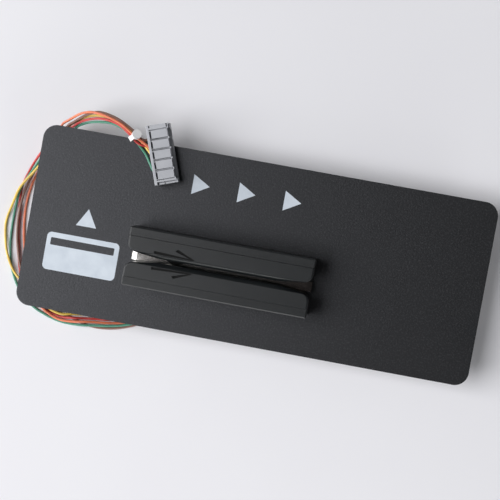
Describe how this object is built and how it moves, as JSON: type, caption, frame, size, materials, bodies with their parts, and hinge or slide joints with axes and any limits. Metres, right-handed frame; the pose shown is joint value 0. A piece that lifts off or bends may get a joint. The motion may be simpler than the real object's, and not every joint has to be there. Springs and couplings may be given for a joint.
{
  "type": "card swipe reader panel",
  "caption": "Magnetic-stripe card swipe reader on a flat black front panel, with a sprung read head, rear mounting studs and a colour-coded wire harness ending in a crimped plug.",
  "frame": {"origin": "on the plane of the rear studs' tips, under the centre of the panel", "axes": "+X along the panel's long side in the swipe direction, +Y towards the panel's top edge, +Z out of the panel's front"},
  "size_m": [0.2464, 0.1107, 0.0465],
  "materials": {
    "powder_coat": "fine-grained matte black powder coat",
    "black_plastic": "fine-textured black moulding",
    "strip_steel": "bright stainless strip",
    "zinc_plate": "zinc-plated steel",
    "brass": "turned brass",
    "head_can": "polished shield can",
    "head_core": "lapped core laminations",
    "spring_steel": "bright spring steel",
    "circuit_board": "green solder mask",
    "chip_resin": "moulded black resin",
    "capacitor_resin": "moulded yellow resin",
    "polyimide": "amber film",
    "header_plastic": "off-white nylon",
    "rubber": "matte black rubber",
    "nylon": "natural white nylon",
    "grey_plastic": "pale grey moulding",
    "tin": "tin-plated bronze",
    "insulation_brown": "soft vinyl insulation",
    "insulation_red": "soft vinyl insulation",
    "insulation_orange": "soft vinyl insulation",
    "insulation_yellow": "soft vinyl insulation",
    "insulation_green": "soft vinyl insulation"
  },
  "bodies": {
    "panel_assembly": {"front_panel": "powder_coat", "panel_stud_1": "zinc_plate", "panel_stud_2": "zinc_plate", "panel_stud_3": "zinc_plate", "panel_stud_4": "zinc_plate", "panel_screw_1": "zinc_plate", "panel_screw_2": "zinc_plate", "panel_washer_1": "zinc_plate", "panel_washer_2": "zinc_plate", "cable_grommet": "rubber", "reader_base": "black_plastic", "rail_head_side": "black_plastic", "rail_guide_side": "black_plastic", "cover_head_side": "black_plastic", "cover_guide_side": "black_plastic", "wear_strip": "strip_steel", "threaded_insert_1": "brass", "threaded_insert_2": "brass", "base_screw_1": "zinc_plate", "base_screw_2": "zinc_plate", "base_screw_3": "zinc_plate", "base_screw_4": "zinc_plate", "head_leaf_spring": "spring_steel", "leaf_spring_screw_1": "zinc_plate", "leaf_spring_screw_2": "zinc_plate", "head_flex_cable": "polyimide", "decoder_board": "circuit_board", "decoder_chip": "chip_resin", "filter_capacitor": "capacitor_resin", "wire_header": "header_plastic", "wire_tail_brown": "insulation_brown", "wire_tail_red": "insulation_red", "wire_tail_orange": "insulation_orange", "wire_tail_yellow": "insulation_yellow", "wire_tail_green": "insulation_green", "wire_brown": "insulation_brown", "wire_red": "insulation_red", "wire_orange": "insulation_orange", "wire_yellow": "insulation_yellow", "wire_green": "insulation_green", "cable_tie": "nylon", "connector_housing": "grey_plastic", "connector_contact_1": "tin", "connector_contact_2": "tin", "connector_contact_3": "tin", "connector_contact_4": "tin", "connector_contact_5": "tin"},
    "head_carrier": {"head_cradle": "spring_steel"},
    "read_head": {"magnetic_head": "head_can", "head_core": "head_core"}
  },
  "joints": [
    {"name": "head_float", "type": "slide", "parent": "panel_assembly", "child": "head_carrier", "axis": [0, 1, 0], "range_m": [0, 0.0011], "stiffness_N_per_m": 400, "springref_m": -0.0012, "deforming": ["head_leaf_spring", "head_flex_cable"]},
    {"name": "head_tilt", "type": "hinge", "parent": "head_carrier", "child": "read_head", "pos_m": [-0.0363, -0.0064, 0.0375], "axis": [0, 0, 1], "range_deg": [-2.5, 2.5], "stiffness_Nm_per_rad": 0.005}
  ]
}
